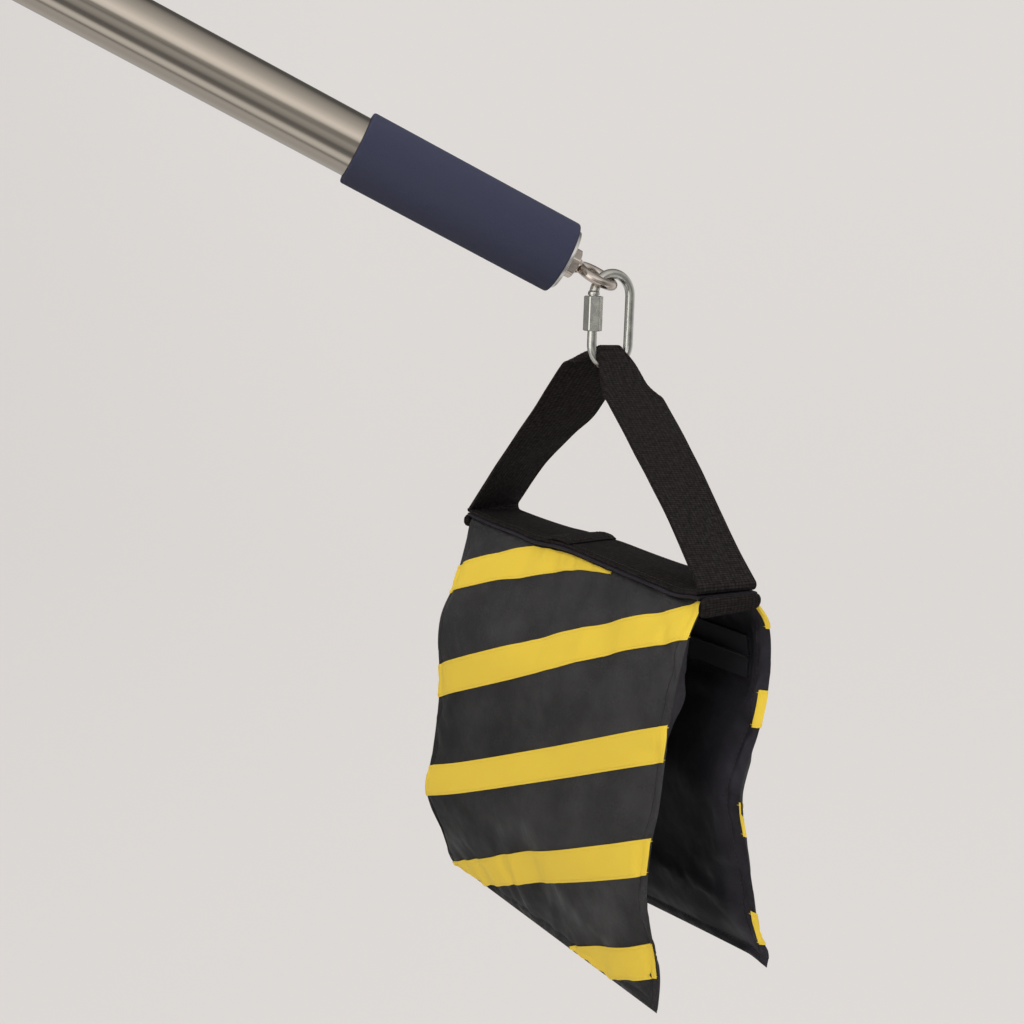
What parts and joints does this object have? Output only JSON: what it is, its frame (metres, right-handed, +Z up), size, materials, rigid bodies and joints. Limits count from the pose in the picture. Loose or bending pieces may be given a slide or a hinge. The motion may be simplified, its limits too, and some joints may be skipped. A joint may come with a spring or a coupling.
{
  "type": "overhead boom arm",
  "caption": "Telescoping overhead boom on a tilting stand head, with a foam grip and a saddle sandbag hung from an eye at the butt end as counterweight",
  "frame": {"origin": "centre of the flat bottom face of the stand socket, where a stand spigot goes in", "axes": "+Z up, +X horizontally along the boom towards its butt end and sandbag, +Y away from the pictured side"},
  "size_m": [1.4347, 0.2656, 1.0603],
  "materials": {
    "stainless": "bright drawn stainless tube",
    "plug": "turned",
    "zinc": "bright zinc plate",
    "casting": "black powder coat",
    "plastic": "moulded, fine grain",
    "foam": "closed-cell foam",
    "webbing": "ribbed polypropylene webbing",
    "nylon": "coated oxford nylon",
    "ribbon": "woven ribbon"
  },
  "bodies": {
    "stand_head": {"stand_receiver": "casting", "tilt_bolt": "zinc", "tilt_washer": "zinc", "friction_disc_near": "plastic", "friction_disc_far": "plastic"},
    "receiver_screw": {"receiver_knob": "plastic"},
    "lever": {"tilt_lever": "plastic"},
    "clamp": {"clamp_body": "casting", "clamp_liner": "plastic", "clamp_nut": "zinc"},
    "clamp_screw": {"clamp_knob": "plastic"},
    "boom": {"rear_tube": "stainless", "foam_grip": "foam", "lock_collar": "casting", "collar_bush": "plastic", "end_plug": "plug", "lock_nut": "zinc", "eye_nut": "zinc", "eye_bolt": "zinc"},
    "collar_screw": {"collar_knob": "plastic"},
    "extension": {"front_tube": "stainless", "tail_bush": "plastic", "front_plug": "plastic", "front_spigot": "zinc"},
    "link": {"link_wire": "zinc"},
    "link_screw": {"link_sleeve": "zinc"},
    "bag_top": {"handle_webbing": "webbing", "spine_lining": "nylon"},
    "front_half": {"front_pouch": "nylon", "front_zip_tape": "webbing", "front_ribbon_1": "ribbon", "front_ribbon_2": "ribbon", "front_ribbon_3": "ribbon", "front_ribbon_4": "ribbon", "front_ribbon_5": "ribbon"},
    "back_half": {"back_pouch": "nylon", "back_zip_tape": "webbing", "back_ribbon_1": "ribbon", "back_ribbon_2": "ribbon", "back_ribbon_3": "ribbon", "back_ribbon_4": "ribbon", "back_ribbon_5": "ribbon"},
    "front_slider": {"front_zip_slider": "zinc"},
    "back_slider": {"back_zip_slider": "zinc"}
  },
  "joints": [
    {"name": "receiver_knob_turn", "type": "hinge", "parent": "stand_head", "child": "receiver_screw", "pos_m": [0, -0.024, 0.024], "axis": [0, 1, 0], "continuous": true},
    {"name": "boom_tilt", "type": "hinge", "parent": "stand_head", "child": "clamp", "pos_m": [0, 0, 0.084], "axis": [0, 1, 0], "range_deg": [-95, 45]},
    {"name": "tilt_lever_turn", "type": "hinge", "parent": "stand_head", "child": "lever", "pos_m": [0, 0, 0.084], "axis": [0, 1, 0], "range_deg": [-100, 100]},
    {"name": "clamp_knob_turn", "type": "hinge", "parent": "clamp", "child": "clamp_screw", "pos_m": [0.0375, 0, 0.16262], "axis": [0, 1, 0], "continuous": true},
    {"name": "boom_slide", "type": "slide", "parent": "clamp", "child": "boom", "axis": [0.9026, 0, -0.4305], "range_m": [-0.29, 0.6]},
    {"name": "collar_knob_turn", "type": "hinge", "parent": "boom", "child": "collar_screw", "pos_m": [-0.64301, 0, 0.44388], "axis": [0, 1, 0], "continuous": true},
    {"name": "extension_slide", "type": "slide", "parent": "boom", "child": "extension", "axis": [-0.9026, 0, 0.4305], "range_m": [-0.14, 0.75]},
    {"name": "link_swing", "type": "hinge", "parent": "boom", "child": "link", "pos_m": [0.48568, 0, -0.09448], "axis": [0, 1, 0], "range_deg": [-45, 20]},
    {"name": "link_sleeve_slide", "type": "slide", "parent": "link", "child": "link_screw", "axis": [0, 0, -1], "range_m": [0, 0.0075]},
    {"name": "bag_swing", "type": "hinge", "parent": "link", "child": "bag_top", "pos_m": [0.48568, 0, -0.14477], "axis": [0.9205, 0.3907, 0], "range_deg": [-20, 20]},
    {"name": "front_pouch_swing", "type": "hinge", "parent": "bag_top", "child": "front_half", "pos_m": [0.46744, -0.01334, -0.26059], "axis": [-0.3904, 0.9197, 0.0419], "range_deg": [0, 75]},
    {"name": "back_pouch_swing", "type": "hinge", "parent": "bag_top", "child": "back_half", "pos_m": [0.50794, 0.00385, -0.26059], "axis": [0.3904, -0.9197, -0.0419], "range_deg": [0, 75]},
    {"name": "front_zip_slide", "type": "slide", "parent": "front_half", "child": "front_slider", "axis": [0.3904, -0.9197, -0.0419], "range_m": [0, 0.179]},
    {"name": "back_zip_slide", "type": "slide", "parent": "back_half", "child": "back_slider", "axis": [0.3904, -0.9197, -0.0419], "range_m": [0, 0.179]}
  ]
}
